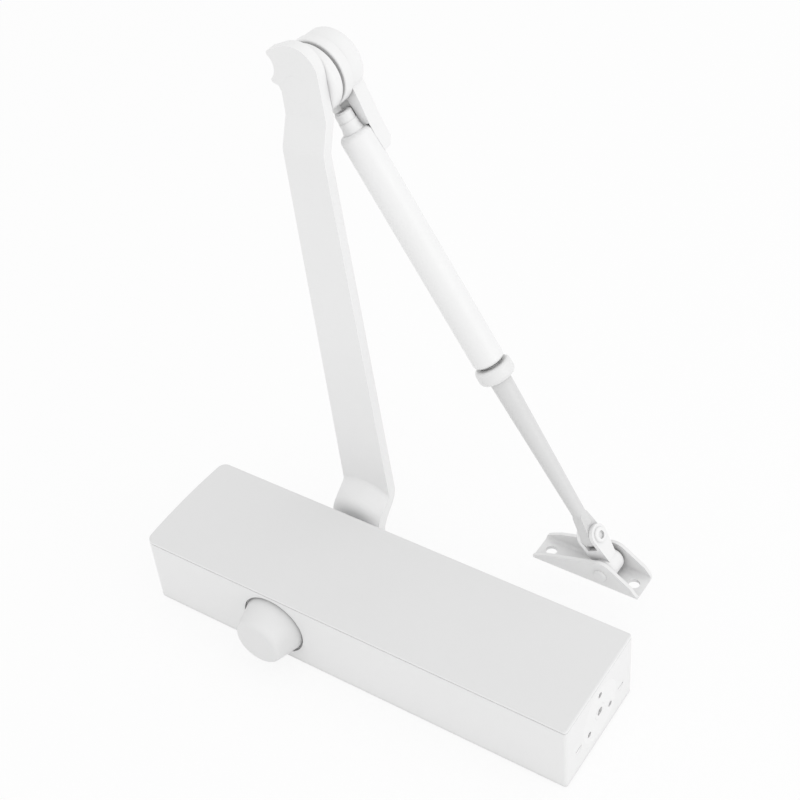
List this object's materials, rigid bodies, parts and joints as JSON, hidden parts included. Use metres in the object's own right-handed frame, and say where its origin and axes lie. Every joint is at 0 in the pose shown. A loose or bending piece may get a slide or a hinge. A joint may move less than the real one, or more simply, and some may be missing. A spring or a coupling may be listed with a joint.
{
  "type": "hydraulic door closer",
  "caption": "Surface-mounted hydraulic door closer: a rack and pinion body with a covered front, a sprung pinion, and a jointed scissor arm with an adjustable rod and a pivoting shoe.",
  "frame": {"origin": "centre of the mounting holes, on the flat back face of the body", "axes": "+X along the body towards the end with the valves, +Y across the body towards the arm side, +Z out of the front cover"},
  "size_m": [0.225, 0.1257, 0.2682],
  "materials": {
    "white_paint": "satin white paint",
    "painted_aluminium": "cast, painted satin white",
    "zinc_steel": "zinc plated",
    "hard_steel": "ground and hardened",
    "spring_steel": "oiled",
    "bronze": "plain bearing bronze",
    "seal_rubber": "matt",
    "white_plastic": "matt white"
  },
  "bodies": {
    "body": {"housing": "painted_aluminium", "front_cover": "white_plastic", "closed_end_plug": "zinc_steel", "valve_end_plug": "white_paint", "plug_o_rings": "seal_rubber", "arm_side_bearing": "bronze", "cap_side_bearing": "bronze", "arm_side_seal": "seal_rubber", "cap_side_seal": "seal_rubber", "arm_side_retainer": "zinc_steel", "cap_side_retainer": "zinc_steel", "pinion_cap": "white_plastic"},
    "pinion_and_main_arm": {"pinion": "hard_steel", "main_arm": "white_paint", "arm_washer": "zinc_steel", "arm_screw": "zinc_steel", "elbow_pin": "white_paint", "elbow_disc": "white_paint"},
    "piston_and_cage": {"piston": "hard_steel", "check_valve_cage": "hard_steel"},
    "check_ball": {"check_valve_ball": "hard_steel"},
    "adjuster": {"spring_adjuster": "white_paint", "adjuster_o_ring": "seal_rubber"},
    "seat_and_spring": {"spring_seat": "zinc_steel", "closing_spring": "spring_steel"},
    "closing_valve_screw": {"closing_valve": "white_paint", "closing_valve_o_ring": "seal_rubber"},
    "latching_valve_screw": {"latching_valve": "white_paint", "latching_valve_o_ring": "seal_rubber"},
    "forearm": {"forearm_head": "white_paint", "head_screw": "white_paint", "forearm_tube": "white_paint", "elbow_spacer": "white_paint"},
    "nut": {"lock_nut": "white_paint"},
    "rod": {"adjusting_rod": "white_paint"},
    "swivel": {"rod_swivel": "white_paint", "swivel_rivet": "white_paint"},
    "shoe": {"shoe_bracket": "white_paint", "shoe_pin": "white_paint"}
  },
  "joints": [
    {"name": "pinion_turn", "type": "hinge", "parent": "body", "child": "pinion_and_main_arm", "pos_m": [-0.03915, 0, 0.0183], "axis": [0, 1, 0], "range_deg": [0, 180], "stiffness_Nm_per_rad": 3, "springref_deg": -171.89},
    {"name": "piston_slide", "type": "slide", "parent": "body", "child": "piston_and_cage", "axis": [1, 0, 0], "range_m": [0, 0.02828], "deforming": ["closing_spring"]},
    {"name": "check_ball_slide", "type": "slide", "parent": "piston_and_cage", "child": "check_ball", "axis": [-1, 0, 0], "range_m": [0, 0.0012]},
    {"name": "adjuster_turn", "type": "hinge", "parent": "body", "child": "adjuster", "pos_m": [0.1125, 0, 0.0183], "axis": [-1, 0, 0], "range_deg": [0, 2160]},
    {"name": "seat_slide", "type": "slide", "parent": "body", "child": "seat_and_spring", "axis": [-1, 0, 0], "range_m": [0, 0.0075], "deforming": ["closing_spring"]},
    {"name": "closing_valve_turn", "type": "hinge", "parent": "body", "child": "closing_valve_screw", "pos_m": [0.1035, -0.0192, 0.0143], "axis": [1, 0, 0], "range_deg": [0, 360]},
    {"name": "latching_valve_turn", "type": "hinge", "parent": "body", "child": "latching_valve_screw", "pos_m": [0.1035, 0.0192, 0.0143], "axis": [1, 0, 0], "range_deg": [0, 360]},
    {"name": "elbow_turn", "type": "hinge", "parent": "pinion_and_main_arm", "child": "forearm", "pos_m": [-0.05314, 0.0705, 0.24908], "axis": [0, -1, 0], "range_deg": [-25, 120]},
    {"name": "lock_nut_turn", "type": "hinge", "parent": "forearm", "child": "nut", "pos_m": [0.02371, 0.0705, 0.12055], "axis": [0.5132, 0, -0.8582], "continuous": true},
    {"name": "rod_slide", "type": "slide", "parent": "forearm", "child": "rod", "axis": [0.5132, 0, -0.8582], "range_m": [-0.04, 0.03]},
    {"name": "swivel_tilt", "type": "hinge", "parent": "rod", "child": "swivel", "pos_m": [0.07137, 0.0705, 0.04087], "axis": [0.8582, 0, 0.5132], "range_deg": [-12, 12]},
    {"name": "shoe_turn", "type": "hinge", "parent": "swivel", "child": "shoe", "pos_m": [0.08009, 0.0705, 0.02628], "axis": [0, 1, 0], "range_deg": [-105, 45]}
  ],
  "couplings": [
    {"joint": "piston_slide", "follows": "pinion_turn", "m_per_rad": 0.009},
    {"joint": "adjuster_turn", "follows": "seat_slide", "rad_per_m": 5026.5}
  ]
}
